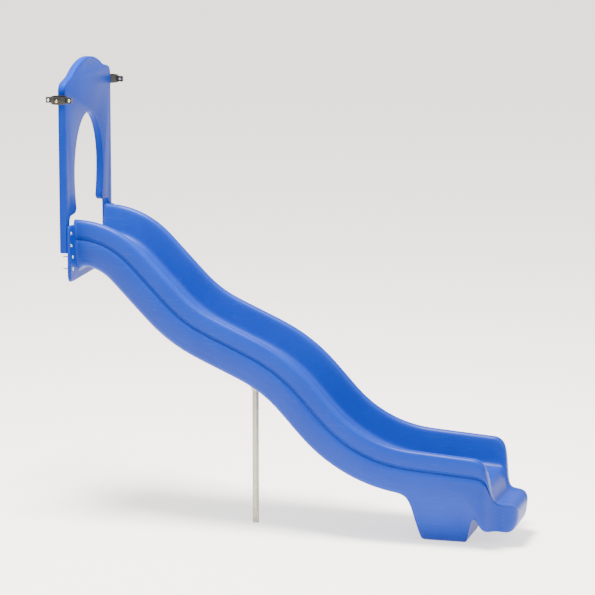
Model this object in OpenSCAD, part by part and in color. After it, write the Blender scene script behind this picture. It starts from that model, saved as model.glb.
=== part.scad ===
// Wave slide for a post-and-deck playground: a one-piece moulded double-wall chute with an entry
// hood between the tower's posts, post clamps, a pipe leg and the fasteners that join them.
// X runs down the slide, Y is across it, Z is up. The origin is the centre of the deck bolts on
// the rear face of the entry flange.

/* [Tower it fits] */
// Height of the deck's surface above the ground
deck_height = 1829; // [1500:1:2200]
// Distance between the two entry posts' centres
post_spacing = 1066.8; // [1060:0.1:1300]
// Outside diameter of a post
post_d = 88.9; // [74:0.1:102]
// Distance from the flange's rear face back to the posts' centres
post_setback = 20; // [14:1:26]
// Height of the deck's surface above the deck bolts' centre
deck_above_bolts = 65; // [55:1:75]

/* [Wave run] */
// Height of the bed above the deck's surface at the entry
bed_above_deck = 12; // [4:1:24]
// Length of the level stretch at the entry
level_run = 20; // [15:1:120]
// Radius of the bed over the first crest
crest_radius = 420; // [340:5:600]
// Slope of the first fall in degrees
first_slope = 46; // [38:1:50]
// Length of the first fall
first_run = 355; // [250:5:450]
// Radius of the bed through the dip
dip_radius = 900; // [600:10:1100]
// Slope at the flattest part between the two falls in degrees
mid_slope = 24; // [18:1:30]
// Length of the flattest part
mid_run = 335; // [280:5:450]
// Radius of the bed over the second crest
second_radius = 880; // [600:10:1100]
// Slope of the second fall in degrees
second_slope = 48; // [40:1:52]
// Length of the second fall
second_run = 205; // [150:5:300]
// Radius of the bed where it levels out
exit_radius = 960; // [700:10:1150]
// Slope of the run-out in degrees
exit_slope = 4; // [2:1:6]
// Length of the run-out, up to where the side walls begin to round off
run_out = 425; // [400:5:600]

/* [Chute section] */
// Width of the flat of the bed
bed_w = 430; // [380:1:520]
// Radius between the bed and the inner wall
bed_fillet = 50; // [30:1:60]
// Distance between the crests of the two side rails
rail_gauge = 640; // [600:1:760]
// Radius of the rounded top of a side rail
rail_r = 33; // [24:1:38]
// Height of the side rails above the bed
side_h = 195; // [160:1:240]
// Depth of the underside below the bed
under_depth = 118; // [95:1:150]
// Radius of the lower corners of the section
under_corner = 60; // [40:1:70]
// How far the groove along the outside lies below the rail's crest
groove_drop = 120; // [95:1:140]
// Depth of the groove
groove_depth = 13; // [6:1:16]
// Height of the groove
groove_h = 36; // [20:1:44]
// Wall thickness of the moulding
skin = 6.5; // [4:0.1:8]

/* [Exit lip] */
// Length over which a side wall rounds down to the bed
wall_round = 110; // [80:1:140]
// Length of the lip beyond the side walls' rounding-off
lip_len = 280; // [240:1:330]
// How far the lip lies below the bed
lip_drop = 115; // [90:1:130]
// Depth of the lip's underside below the bed
lip_depth = 308; // [290:1:330]
// Width of the lip
lip_w = 470; // [420:1:560]
// Radius of the lip's corners seen from above
lip_corner = 100; // [80:1:140]
// Radius of the lip's nose seen from the side
lip_nose = 60; // [45:1:75]

/* [Foot] */
// Length of the foot on the ground
foot_len = 280; // [220:1:330]
// Width of the foot on the ground
foot_w = 300; // [240:1:400]
// Distance from the foot's front edge back from the start of the walls' rounding-off
foot_setback = 80; // [60:1:110]
// Width of the foot where it meets the chute
foot_top_w = 660; // [560:1:660]
// Distance between the two anchor inserts in the foot
anchor_pitch = 140; // [100:1:180]
// Diameter of the drain hole at the back of the foot
drain_d = 12; // [8:1:16]

/* [Entry flange] */
// Thickness of the flange
flange_t = 18; // [12:1:22]
// Clearance between the flange or hood and a post
post_gap = 12; // [4:1:20]
// How far the flange reaches below the deck bolts' centre
flange_below = 122; // [100:1:160]
// Height of the flange's ears above the deck's surface
ear_h = 187; // [150:1:200]
// Corner radius of the flange
flange_r = 40; // [20:1:60]
// Distance across between the deck bolts
deck_bolt_across = 830; // [820:1:840]
// Distance up and down between the deck bolts
deck_bolt_up = 80; // [60:1:90]

/* [Hood] */
// Thickness of the hood
hood_t = 50; // [44:1:70]
// Height of the hood's top above the deck's surface
hood_h = 1227; // [1100:1:1400]
// Radius of the domed top
dome_r = 640; // [560:5:900]
// Half the width of the dome
dome_half = 300; // [240:5:320]
// Radius of the hood's shoulders
shoulder_r = 60; // [30:1:80]
// Width of the opening at its widest
opening_w = 580; // [520:1:600]
// Height of the opening's top above the deck's surface
opening_h = 865; // [800:1:900]
// Height above the deck's surface at which the opening is widest
opening_waist = 495; // [430:5:540]
// Height above the deck's surface at which the legs step back to clear the rails
leg_step = 235; // [222:1:260]
// Width of a leg beside the rail
leg_w = 70; // [60:1:80]
// Height of the post clamps above the deck's surface
clamp_height = 1015; // [940:1:1100]

/* [Post clamps] */
// Height of a clamp
clamp_h = 48; // [40:1:60]
// Wall thickness of a clamp
clamp_wall = 7.5; // [6:0.5:10]
// Reach of a clamp's ears from the post's centre
clamp_reach = 86; // [84:1:96]
// Gap between the two halves of a clamp
clamp_gap = 2; // [1:0.5:4]

/* [Pipe leg] */
// Distance from the flange to the leg along the slide
leg_x = 1130; // [1080:1:1160]
// Outside diameter of the leg's pipe
pipe_d = 42.2; // [38:0.1:51]
// Wall thickness of the pipe
pipe_wall = 3.6; // [2:0.1:5]
// Length of the sleeve that takes the pipe
sleeve_len = 90; // [60:1:120]
// Wall thickness of the sleeve
sleeve_wall = 4; // [3:0.5:6]
// Thickness of the saddle's plate
saddle_t = 6; // [4:0.5:8]
// Width of the saddle's plate
saddle_w = 124; // [110:1:150]
// Thickness of the moulded pad above the saddle
pad_t = 8; // [7:0.5:12]

/* [Fasteners] */
// Diameter of the bolts
bolt_d = 9.52; // [8:0.01:11.5]
// Clearance around a bolt in its hole, on the radius
bolt_gap = 0.5; // [0.1:0.1:1]
// Clearance between a bolt's thread and the insert it screws into, on the radius
thread_gap = 0.1; // [0.05:0.05:0.2]
// How far a deck bolt's thread lies below its plain body, on the radius
thread_under = 0.06; // [0.04:0.01:0.12]
// Diameter of a bolt's head
head_d = 18; // [16:0.5:20]
// Height of a bolt's head
head_h = 5.5; // [4:0.5:7]
// Outside diameter of a washer
washer_d = 22; // [21:0.5:26]
// Thickness of a washer
washer_t = 2; // [1.5:0.1:3]
// Outside diameter of a threaded insert
insert_d = 16; // [14:0.5:18]
// Length of a threaded insert
insert_len = 26; // [20:1:30]
// Outside diameter of the moulded boss round an insert
boss_d = 28; // [24:1:32]
// How far the deck bolts reach behind the flange
stud_len = 46; // [38:1:60]

/* [Hidden] */
$fn = 48;

moulded_blue = [0.26, 0.47, 0.88];
cast_black = [0.13, 0.12, 0.11];
zinc = [0.72, 0.72, 0.70];
brass = [0.78, 0.62, 0.30];
galvanised = [0.60, 0.59, 0.52];

// Levels
deck_z = deck_above_bolts;
ground_z = deck_z - deck_height;
bed_z = deck_z + bed_above_deck;
post_y = post_spacing / 2;
panel_half = post_y - post_d / 2 - post_gap;

// ---- The bed's line: each station is [x, z, slope in degrees] ----

arc_step = 7;
function last(v) = v[len(v) - 1];
function on_line(p, d) = [p[0] + d * cos(p[2]), p[1] - d * sin(p[2]), p[2]];
function on_arc(p, r, slope) =
    let (s = slope > p[2] ? 1 : -1)
    [p[0] + s * r * (sin(slope) - sin(p[2])), p[1] + s * r * (cos(slope) - cos(p[2])), slope];
function arc_stations(p, r, slope) =
    let (n = ceil(abs(slope - p[2]) / arc_step))
    [for (i = [1:n]) on_arc(p, r, p[2] + (slope - p[2]) * i / n)];

entry_end = on_line([0, bed_z, 0], level_run);
crest = arc_stations(entry_end, crest_radius, first_slope);
first_end = on_line(last(crest), first_run);
dip = arc_stations(first_end, dip_radius, mid_slope);
mid_end = on_line(last(dip), mid_run);
second = arc_stations(mid_end, second_radius, second_slope);
second_end = on_line(last(second), second_run);
exit_arc = arc_stations(second_end, exit_radius, exit_slope);
wall_end = on_line(last(exit_arc), run_out);

// ---- The chute's cross-section ----

outer_half = rail_gauge / 2 + rail_r;
// Angle of the inner wall's top on the rail's round, and of its foot on the bed's fillet
wall_lean = 12;
// Least height of the rail's bump along the lip, as a share of the rail's height
bump_share = 0.06;

// How far the side tucks in down to its lower corner, and the groove's lower edge with it
side_tuck = 18;
groove_tuck = 4;
// Where the bed's flat is divided, as a share of its half width
bed_split = 0.6;

// Points of the section's right half, from the middle of the bed round to the middle of the
// underside, each [across, up from the bed], moved inwards by d.
function half_section(d) =
    let (
        bed_half = bed_w / 2,
        rail_n = side_h - rail_r,
        groove_n = side_h - groove_drop,
        corner_y = outer_half - side_tuck - under_corner,
        corner_n = under_corner - under_depth
    )
    concat(
        [[0, -d], [bed_half * bed_split, -d]],
        [for (a = [-90, -60, -35, -wall_lean])
            [bed_half + (bed_fillet + d) * cos(a), bed_fillet + (bed_fillet + d) * sin(a)]],
        [for (a = [180 - wall_lean, 140, 115, 90, 45, 0])
            [rail_gauge / 2 + (rail_r - d) * cos(a), rail_n + (rail_r - d) * sin(a)]],
        [[outer_half - d, groove_n + groove_h / 2],
         [outer_half - groove_depth - d, groove_n],
         [outer_half - groove_tuck - d, groove_n - groove_h / 2]],
        [for (a = [0, -45, -90])
            [corner_y + (under_corner - d) * cos(a), corner_n + (under_corner - d) * sin(a)]],
        [[0, d - under_depth]]
    );

// The whole closed section at one place. rise is the side rails' height as a share of side_h,
// drop is how far the bed has fallen, deep is the thickness below the bed and half_w the half
// width. d moves it inwards for the hollow.
function section(d, rise, drop, deep, half_w) =
    let (
        narrow = (half_w - d) / (outer_half - d),
        squash = (deep - 2 * d) / (under_depth - 2 * d),
        half = [for (p = half_section(d))
            [p[0] * narrow,
             -drop - d + (p[1] + d) * (p[1] > -d ? rise : squash)]],
        n = len(half)
    )
    concat(half, [for (i = [n - 2:-1:1]) [-half[i][0], half[i][1]]]);

function placed(st, sec) =
    [for (p = sec) [st[0] + p[1] * sin(st[2]), p[0], st[1] + p[1] * cos(st[2])]];

// Ease from 0 to 1, and a quarter circle from 0 to 1
function ease(k) = let (c = min(1, max(0, k))) c * c * (3 - 2 * c);
function quarter(k) = let (c = min(1, max(0, k))) 1 - sqrt(1 - c * c);

// The underside is deeper at the flange, and it starts to fall to the lip before the walls end
entry_flare = 30;
entry_flare_len = 70;
function entry_deep(s) = under_depth + entry_flare * (1 - ease(s / entry_flare_len));
lip_fall_start = 60;
lip_fall_len = 160;
bed_roll_start = 70;
bed_roll_len = 80;
lip_taper_len = 100;
// Thickness of the lip at the foot of its nose
lip_nose_t = 3.5 * skin;
function lip_section(d, e) =
    let (
        nose = quarter((e - lip_len + lip_nose) / lip_nose),
        rise = max(bump_share, 1 - quarter(e / wall_round)),
        drop = lip_drop * ease((e - bed_roll_start) / bed_roll_len) + lip_nose * nose,
        bottom = under_depth
            + (lip_depth - under_depth) * ease((e + lip_fall_start) / lip_fall_len)
            - (lip_depth - lip_drop - lip_nose - lip_nose_t) * nose,
        half_w = outer_half - (outer_half - lip_w / 2) * ease((e - lip_fall_start) / lip_taper_len)
            - lip_corner * quarter((e - lip_len + lip_corner) / lip_corner)
    )
    section(d, rise, drop, bottom - drop, half_w);

plain_section_steps = 2;
lip_steps = 14;
// All rings of the chute, moved inwards by d
function rings(d) = concat(
    [for (s = [d, level_run]) placed([s, bed_z, 0], section(d, 1, 0, entry_deep(s), outer_half))],
    [for (i = [0:len(crest) - 1])
        placed(crest[i], section(d, 1, 0,
            entry_deep(level_run + crest_radius * first_slope * PI / 180 * (i + 1) / len(crest)),
            outer_half))],
    [for (st = concat([first_end], dip, [mid_end], second, [second_end], exit_arc))
        placed(st, section(d, 1, 0, under_depth, outer_half))],
    [for (i = [1:plain_section_steps])
        let (e = (i / plain_section_steps - 1) * lip_fall_start)
        placed(on_line(wall_end, e), lip_section(d, e))],
    [for (i = [1:lip_steps])
        let (e = (lip_len - d) * sin(90 * i / lip_steps))
        placed(on_line(wall_end, e), lip_section(d, min(lip_len, e + d)))]
);

// The end of a ring, closed with strips that run from the bed's side to the underside. The
// rail's crest is the middle point of each half, so point i lies across from point last - i.
half_last = len(half_section(0)) - 1;
function end_faces(n, o, flip) =
    let (
        right = concat(
            [for (i = [0:half_last / 2 - 2]) [i, i + 1, half_last - i - 1, half_last - i]],
            [[half_last / 2 - 1, half_last / 2, half_last / 2 + 1]]
        ),
        left = [for (f = right) [for (i = [len(f) - 1:-1:0]) (n - f[i]) % n]]
    )
    [for (f = concat(right, left)) flip ? [for (i = [len(f) - 1:-1:0]) o + f[i]]
                                        : [for (i = f) o + i]];

module sweep(rs) {
    n = len(rs[0]);
    m = len(rs);
    polyhedron(
        points = [for (r = rs) for (p = r) p],
        faces = concat(
            end_faces(n, 0, true),
            [for (i = [0:m - 2]) for (j = [0:n - 1]) let (k = (j + 1) % n)
                [i * n + j, i * n + k, (i + 1) * n + k, (i + 1) * n + j]],
            end_faces(n, (m - 1) * n, false)
        ),
        convexity = 12
    );
}

// ---- The moulded foot under the exit ----

foot_front = wall_end[0] - foot_setback;
foot_x = foot_front - foot_len / 2;
foot_corner = 50;
foot_edge = 18;
// The foot's top lies inside the chute, this far below the bed
foot_top_n = -80;
foot_top_front = 20;
foot_top_back = 445;

module rounded_slab(x0, x1, w, r, t) {
    for (x = [x0 + r, x1 - r], y = [r - w / 2, w / 2 - r])
        translate([x, y, 0]) cylinder(h = t, r = r, $fn = 32);
}

module foot_body(d) {
    hull() {
        translate([0, 0, ground_z + d])
            rounded_slab(foot_front - foot_len + d, foot_front - d, foot_w - 2 * d,
                         foot_corner - d, 1);
        translate([0, 0, ground_z + foot_edge + d])
            rounded_slab(foot_front - foot_len - foot_edge + d, foot_front + foot_edge - d,
                         foot_w + 2 * foot_edge - 2 * d, foot_corner + foot_edge - d, 1);
        translate([wall_end[0], 0, wall_end[1]])
            rotate([0, exit_slope, 0])
            translate([0, 0, foot_top_n])
            rounded_slab(d - foot_top_back, foot_top_front - d, foot_top_w - 2 * d,
                         foot_corner, 1);
    }
}

anchor_x = [foot_x - anchor_pitch / 2, foot_x + anchor_pitch / 2];
drain_up = 45;
drain_cut = [100, 50];

// ---- Fasteners, each drawn with its head up and its shank down from z = 0 ----

bolt_r = bolt_d / 2;
hole_r = bolt_r + bolt_gap;
socket_across = 6.4;
socket_deep = 3.5;
nut_across = 16;
nut_t = 8;
countersunk_h = 5;
shank_play = 1.5;
// Radius of a bolt head's dome
head_dome_r = head_d * 0.8;

// body is the length of the plain part that is thicker than the thread, where there is one
module button_bolt(shank, body = 0) {
    difference() {
        rotate_extrude() union() {
            translate([0, -shank]) square([bolt_r - (body > 0 ? thread_under : 0), shank + 1]);
            translate([0, -body]) square([bolt_r, body + 1]);
            intersection() {
                square([head_d / 2, head_h]);
                translate([0, head_h - head_dome_r]) circle(r = head_dome_r, $fn = 96);
            }
        }
        translate([0, 0, head_h - socket_deep])
            cylinder(h = socket_deep + 1, d = socket_across / cos(30), $fn = 6);
    }
}

module countersunk_screw(shank) {
    difference() {
        rotate_extrude()
            polygon([[0, -shank], [bolt_r, -shank], [bolt_r, -countersunk_h],
                     [head_d / 2, 0], [0, 0]]);
        translate([0, 0, -socket_deep])
            cylinder(h = socket_deep + 1, d = socket_across / cos(30), $fn = 6);
    }
}

module washer() {
    difference() {
        cylinder(h = washer_t, d = washer_d);
        translate([0, 0, -1]) cylinder(h = washer_t + 2, r = hole_r);
    }
}

module nut() {
    difference() {
        cylinder(h = nut_t, d = nut_across / cos(30), $fn = 6);
        translate([0, 0, -1]) cylinder(h = nut_t + 2, r = bolt_r + thread_gap);
    }
}

// A closed-ended threaded insert whose mouth is at z = 0 and whose body goes down
module insert() {
    difference() {
        translate([0, 0, -insert_len]) cylinder(h = insert_len, d = insert_d);
        translate([0, 0, 3 - insert_len]) cylinder(h = insert_len, r = bolt_r + thread_gap);
    }
}
insert_shank = insert_len - 3 - shank_play;

// ---- Places of the fasteners ----

module at_deck_bolts() {
    for (y = [-1, 1] * deck_bolt_across / 2, z = [-1, 1] * deck_bolt_up / 2)
        translate([flange_t, y, z]) rotate([0, 90, 0]) children();
}

leg_bolt_up = [55, 135];
module at_leg_bolts(x) {
    for (s = [-1, 1], up = leg_bolt_up)
        translate([x, s * (panel_half - leg_w / 2), deck_z + up]) rotate([0, 90, 0]) children();
}

clamp_z = deck_z + clamp_height;
module at_hood_edges(depth) {
    for (s = [-1, 1])
        translate([-post_setback, s * (panel_half + depth), clamp_z])
        rotate([-90 * s, 0, 0]) children();
}

// The saddle's frame: its z = 0 is the underside of the moulded pad, its x runs down the slope
pad_n = -under_depth - pad_t;
pad_line_x = last(dip)[0] + pad_n * sin(mid_slope);
pad_line_z = last(dip)[1] + pad_n * cos(mid_slope);
saddle_z = pad_line_z - (leg_x - pad_line_x) * tan(mid_slope);
saddle_back = 125;
saddle_front = 60;
// How far the moulded pad stands out round the plate
pad_edge = 6;
saddle_bolt_x = [-103, 38];
saddle_bolt_y = 42;
module at_saddle() {
    translate([leg_x, 0, saddle_z]) rotate([0, mid_slope, 0]) children();
}
module at_saddle_bolts(z) {
    at_saddle() for (x = saddle_bolt_x, y = [-1, 1] * saddle_bolt_y)
        translate([x, y, z]) children();
}

pipe_r = pipe_d / 2;
sleeve_gap = 0.15;
sleeve_r = pipe_r + sleeve_gap + sleeve_wall;
// The pipe's top stops just below the plate on the plate's lower side
pipe_end_gap = 0.3;
pipe_top = saddle_z - saddle_t / cos(mid_slope) - pipe_r * tan(mid_slope) - pipe_end_gap;
pipe_bolt_z = pipe_top - sleeve_len * 0.45;

// ---- Moulded parts ----

// The flange's outline, from above, with the channel cut out a little inside the chute's skin
module flange_outline() {
    difference() {
        union() {
            translate([-panel_half, -flange_below + flange_r])
                square([2 * panel_half, flange_below + deck_z + ear_h - flange_r * 1.5]);
            translate([flange_r - panel_half, -flange_below])
                square([2 * panel_half - 2 * flange_r, flange_below + deck_z + ear_h]);
            for (s = [-1, 1]) {
                translate([s * (panel_half - flange_r), flange_r - flange_below])
                    circle(r = flange_r);
                translate([s * (panel_half - flange_r / 2), deck_z + ear_h - flange_r / 2])
                    circle(r = flange_r / 2);
                translate([s * (panel_half - flange_r) - (s < 0 ? 0 : flange_r / 2),
                           deck_z + ear_h - flange_r])
                    square([flange_r / 2, flange_r / 2]);
            }
        }
        polygon(concat(
            [for (p = half_section(skin / 2)) if (p[1] > -skin && p[0] < rail_gauge / 2)
                [p[0], bed_z + p[1]]],
            [[rail_gauge / 2, bed_z + side_h * 2], [-rail_gauge / 2, bed_z + side_h * 2]],
            [for (i = [5:-1:1]) let (p = half_section(skin / 2)[i]) [-p[0], bed_z + p[1]]]
        ));
    }
}

module chute() {
    color(moulded_blue) difference() {
        union() {
            sweep(rings(0));
            rotate([90, 0, 90]) linear_extrude(flange_t) flange_outline();
            foot_body(0);
            at_saddle() translate([-saddle_back - pad_edge, -saddle_w / 2 - pad_edge, 0])
                cube([saddle_back + saddle_front + 2 * pad_edge, saddle_w + 2 * pad_edge,
                      pad_t + skin / 2]);
        }
        difference() {
            union() {
                sweep(rings(skin));
                foot_body(skin);
            }
            at_saddle_bolts(-1) cylinder(h = insert_len + skin, d = boss_d);
            for (x = anchor_x) translate([x, 0, ground_z - 1])
                cylinder(h = insert_len + skin, d = boss_d);
        }
        at_deck_bolts() translate([0, 0, -flange_t - 1]) cylinder(h = flange_t + 2, r = hole_r);
        at_leg_bolts(flange_t) translate([0, 0, -flange_t - 1])
            cylinder(h = flange_t + 2, r = hole_r);
        at_saddle_bolts(-1) cylinder(h = insert_len + 1, d = insert_d);
        for (x = anchor_x) translate([x, 0, ground_z - 1])
            cylinder(h = insert_len + 1, d = insert_d);
        translate([foot_front - foot_len - drain_cut[0], 0, ground_z + drain_up])
            rotate([0, 90, 0]) cylinder(h = drain_cut[0] + drain_cut[1], d = drain_d);
    }
}

shoulder_fall = 20;
waist_in = 30;
// Half angle over which the opening narrows from its widest to its waist
waist_angle = 40;
step_r = 40;
// The step's rounding beside the leg and beside the opening, as shares of its radius
step_in = [0.3, 0.35];
step_out = [0.8, 0.15];
// The hood's legs end this far above the deck's surface
leg_lift = 5;
// The dome flows into the shoulder over this run, with this fall
shoulder_run = 30;
shoulder_dip = 13;
shoulder_start = 78;
shoulder_step = 13;
dome_end = hood_h - dome_r + sqrt(dome_r * dome_r - dome_half * dome_half) - shoulder_dip;
// Points of the hood's right outline, [across, up from the deck], moved inwards by d
function hood_outer(d) = concat(
    [for (a = [0:3:floor(asin(dome_half / dome_r))])
        [(dome_r - d) * sin(a), hood_h - dome_r + (dome_r - d) * cos(a)]],
    [[dome_half + shoulder_run, dome_end - d]],
    let (y = panel_half - shoulder_r, z = dome_end - shoulder_fall - shoulder_r)
    [for (a = [shoulder_start:-shoulder_step:0])
        [y + (shoulder_r - d) * cos(a), z + (shoulder_r - d) * sin(a)]],
    [[panel_half - d, leg_lift + d]]
);
// Points of the opening's right side from the leg's foot up to the top, moved outwards by d
function hood_inner(d) = concat(
    [[panel_half - leg_w + d, leg_lift + d], [panel_half - leg_w + d, leg_step - step_r + d],
     [panel_half - leg_w - step_r * step_in[0] + d, leg_step - step_r * step_in[1] + d],
     [panel_half - leg_w - step_r + d, leg_step + d],
     [opening_w / 2 - waist_in + step_r * step_out[0] + d, leg_step + step_r * step_out[1] + d],
     [opening_w / 2 - waist_in + d, leg_step + step_r + d]],
    [for (a = [-30:10:80])
        let (up = a < 0 ? opening_waist - leg_step - step_r : opening_h - opening_waist)
        a < 0
            ? [opening_w / 2 + d - waist_in * pow(a / waist_angle, 2),
               opening_waist + up * a / waist_angle]
            : [(opening_w / 2 + d) * cos(a), opening_waist + (up + d) * sin(a)]]
);
module hood_outline(d) {
    right = concat(hood_outer(d), hood_inner(d), [[0, opening_h + d]]);
    n = len(right);
    polygon(concat(right, [for (i = [n - 2:-1:1]) [-right[i][0], right[i][1]]]));
}

vent_up = opening_h + 150;
vent_d = 12;
vent_rim = 4;
vent_rim_t = 2.5;
breather_d = 3;
module hood() {
    color(moulded_blue) difference() {
        translate([-hood_t, 0, deck_z]) rotate([90, 0, 90]) linear_extrude(hood_t)
            hood_outline(0);
        difference() {
            translate([skin - hood_t, 0, deck_z]) rotate([90, 0, 90])
                linear_extrude(hood_t - 2 * skin) hood_outline(skin);
            at_leg_bolts(1) mirror([0, 0, 1]) cylinder(h = insert_len + skin, d = boss_d);
            at_hood_edges(1) mirror([0, 0, 1]) cylinder(h = insert_len + skin, d = boss_d);
        }
        at_leg_bolts(1) mirror([0, 0, 1]) cylinder(h = insert_len + 1, d = insert_d);
        at_hood_edges(1) mirror([0, 0, 1]) cylinder(h = insert_len + 1, d = insert_d);
        translate([-hood_t - 1, 0, deck_z + vent_up]) rotate([0, 90, 0])
            cylinder(h = skin + 2, d = vent_d);
    }
}

// ---- Post clamps ----

clamp_r = post_d / 2 + clamp_wall;
ear_t = 11;
ear_h_clamp = 36;
ear_round = 6;
clamp_bolt_x = clamp_reach - 16;
pad_half_w = 18;

// One half of a clamp, drawn round a post at the origin, on the side of -Y
module clamp_half() {
    difference() {
        union() {
            cylinder(h = clamp_h, r = clamp_r, center = true, $fn = 96);
            translate([-clamp_reach + ear_round, -ear_t - clamp_gap / 2, -ear_h_clamp / 2])
                cube([2 * (clamp_reach - ear_round), ear_t, ear_h_clamp]);
            for (s = [-1, 1]) translate([s * (clamp_reach - ear_round), -clamp_gap / 2, 0])
                rotate([90, 0, 0]) intersection() {
                    cylinder(h = ear_t, r = ear_round + ear_h_clamp / 2);
                    translate([-ear_round, -ear_h_clamp / 2, 0])
                        cube([2 * ear_round, ear_h_clamp, ear_t]);
                }
            children(0);
        }
        cylinder(h = clamp_h + 60, d = post_d, center = true, $fn = 96);
        translate([-clamp_reach - 20, -clamp_gap / 2, -clamp_h])
            cube([2 * clamp_reach + 40, post_d + 60, 2 * clamp_h]);
        for (s = [-1, 1]) translate([s * clamp_bolt_x, 1, 0]) rotate([90, 0, 0])
            cylinder(h = ear_t + 20, r = hole_r);
        children(1);
    }
}

// The half towards the hood has a flat pad that bears on the hood's edge, with a countersunk hole
module clamp_inner() {
    reach = post_y - panel_half;
    color(cast_black) clamp_half() {
        translate([-pad_half_w, -reach, -clamp_h / 2])
            cube([2 * pad_half_w, reach - post_d / 2 + 3, clamp_h]);
        translate([0, -post_d / 2, 0]) rotate([-90, 0, 0]) {
            translate([0, 0, -reach]) cylinder(h = reach, r = hole_r);
            translate([0, 0, -screw_seat]) cylinder(h = 10, d = head_d + 1);
            translate([0, 0, -screw_seat - countersunk_h])
                cylinder(h = countersunk_h, r1 = hole_r, r2 = head_d / 2 + 0.5);
        }
    }
}
screw_seat = 2;

// The outer half has a raised boss with the lock screw in it
lock_boss_r = 11;
lock_boss_out = 3;
module clamp_outer() {
    color(cast_black) clamp_half() {
        translate([0, -post_d / 2 - 1, 0]) rotate([90, 0, 0])
            cylinder(h = clamp_wall + lock_boss_out, r = lock_boss_r);
        translate([0, 1 - post_d / 2, 0]) rotate([90, 0, 0])
            cylinder(h = clamp_wall + lock_boss_out + 20, r = bolt_r + thread_gap);
    }
}

module at_post(s) {
    translate([-post_setback, s * post_y, clamp_z]) children();
}
module left_clamp_inner() { at_post(1) clamp_inner(); }
module left_clamp_outer() { at_post(1) rotate([0, 0, 180]) clamp_outer(); }
module right_clamp_inner() { at_post(-1) rotate([0, 0, 180]) clamp_inner(); }
module right_clamp_outer() { at_post(-1) clamp_outer(); }

clamp_stack = 2 * ear_t + clamp_gap;
module clamp_bolts() {
    color(zinc) for (s = [-1, 1], x = [-1, 1] * clamp_bolt_x)
        at_post(s) translate([x, s * clamp_stack / 2, 0]) rotate([-90 * s, 0, 0])
            button_bolt(clamp_stack + nut_t + 2);
}
module clamp_nuts() {
    color(zinc) for (s = [-1, 1], x = [-1, 1] * clamp_bolt_x)
        at_post(s) translate([x, -s * clamp_stack / 2, 0]) rotate([90 * s, 0, 0]) nut();
}
lock_seat = post_d / 2 + 1 + clamp_wall + lock_boss_out;
module clamp_lock_screws() {
    color(brass) for (s = [-1, 1]) at_post(s) translate([0, s * lock_seat, 0])
        rotate([-90 * s, 0, 0]) button_bolt(lock_seat - post_d / 2 - 0.2);
}
module hood_edge_screws() {
    reach = post_y - panel_half - post_d / 2 - screw_seat;
    color(zinc) at_hood_edges(reach) countersunk_screw(reach + insert_shank);
}
module hood_edge_inserts() { color(brass) at_hood_edges(0) insert(); }

module hood_leg_bolts() {
    color(zinc) at_leg_bolts(flange_t + washer_t) button_bolt(flange_t + washer_t + insert_shank);
}
module hood_leg_washers() { color(zinc) at_leg_bolts(flange_t) washer(); }
module hood_leg_inserts() { color(brass) at_leg_bolts(0) insert(); }

module deck_bolts() {
    color(zinc) at_deck_bolts() translate([0, 0, washer_t])
        button_bolt(flange_t + washer_t + stud_len, body = flange_t + washer_t);
}
module deck_washers() { color(zinc) at_deck_bolts() washer(); }

// ---- Pipe leg ----

gusset_t = 6;
gusset_reach = 100;
gusset_end = 25;
gusset_foot_up = 10;
module saddle_bracket() {
    color(galvanised) difference() {
        union() {
            at_saddle() translate([-saddle_back, -saddle_w / 2, -saddle_t])
                cube([saddle_back + saddle_front, saddle_w, saddle_t]);
            intersection() {
                union() {
                    translate([leg_x, 0, pipe_top - sleeve_len])
                        cylinder(h = sleeve_len + 60, r = sleeve_r);
                    translate([leg_x, gusset_t / 2, pipe_top]) rotate([90, 0, 0])
                        linear_extrude(gusset_t)
                        polygon([[-gusset_reach, 80], [0, 80],
                                 [0, gusset_foot_up - sleeve_len],
                                 [-sleeve_r, gusset_foot_up - sleeve_len],
                                 [-gusset_reach, gusset_end]]);
                }
                at_saddle() translate([-400, -100, -400 - saddle_t / 2]) cube([800, 200, 400]);
            }
        }
        translate([leg_x, 0, pipe_top - sleeve_len - 1])
            cylinder(h = sleeve_len + 1 + pipe_end_gap, r = pipe_r + sleeve_gap);
        at_saddle_bolts(-saddle_t - 1) cylinder(h = saddle_t + 2, r = hole_r);
        translate([leg_x, 0, pipe_bolt_z]) rotate([90, 0, 0])
            cylinder(h = 4 * sleeve_r, r = hole_r, center = true);
    }
}
module saddle_bolts() {
    color(zinc) at_saddle_bolts(-saddle_t - washer_t) mirror([0, 0, 1])
        button_bolt(saddle_t + washer_t + insert_shank);
}
module saddle_washers() {
    color(zinc) at_saddle_bolts(-saddle_t - washer_t) washer();
}
module saddle_inserts() { color(brass) at_saddle_bolts(0) mirror([0, 0, 1]) insert(); }

module support_pipe() {
    color(galvanised) difference() {
        translate([leg_x, 0, ground_z]) cylinder(h = pipe_top - ground_z, r = pipe_r);
        translate([leg_x, 0, ground_z - 1])
            cylinder(h = pipe_top - ground_z + 2, r = pipe_r - pipe_wall);
        translate([leg_x, 0, pipe_bolt_z]) rotate([90, 0, 0])
            cylinder(h = 4 * sleeve_r, r = hole_r, center = true);
    }
}
module pipe_bolt() {
    color(zinc) translate([leg_x, -sleeve_r, pipe_bolt_z]) rotate([90, 0, 0])
        button_bolt(2 * sleeve_r + nut_t + 2);
}
module pipe_nut() {
    color(zinc) translate([leg_x, sleeve_r, pipe_bolt_z]) rotate([-90, 0, 0]) nut();
}

module foot_inserts() {
    color(brass) for (x = anchor_x) translate([x, 0, ground_z]) mirror([0, 0, 1]) insert();
}

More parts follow.
